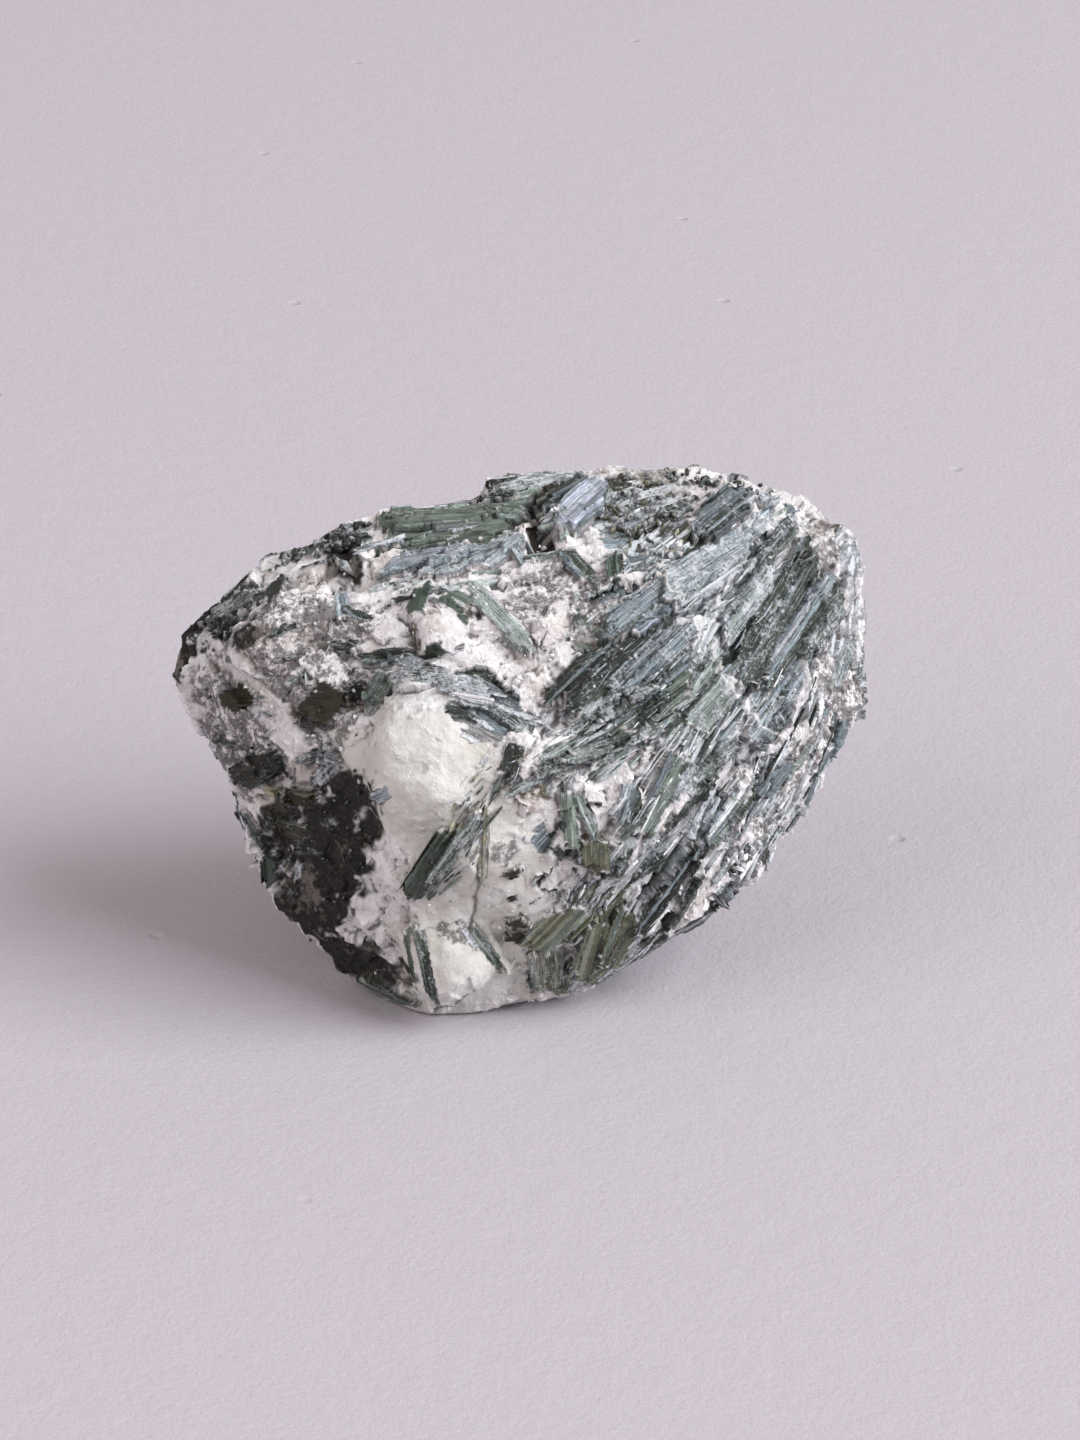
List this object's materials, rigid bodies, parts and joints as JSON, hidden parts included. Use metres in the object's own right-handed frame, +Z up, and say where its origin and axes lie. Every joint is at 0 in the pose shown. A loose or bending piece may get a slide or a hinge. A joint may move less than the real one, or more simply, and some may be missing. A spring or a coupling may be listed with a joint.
{
  "type": "actinolite specimen",
  "caption": "Rough hand specimen of actinolite: green bladed crystals grown through white talc and calcite rock, resting on a flat underside.",
  "frame": {"origin": "middle of the stone's outer box, at the height of the resting face", "axes": "+X along the stone's longest extent, +Y away from its best face, through its shortest extent, +Z up from what it rests on"},
  "size_m": [0.1116, 0.0684, 0.076],
  "materials": {
    "rock": "rough broken stone, white talc and calcite with silky green blades"
  },
  "bodies": {
    "root": {"stone": "rock"}
  },
  "joints": []
}
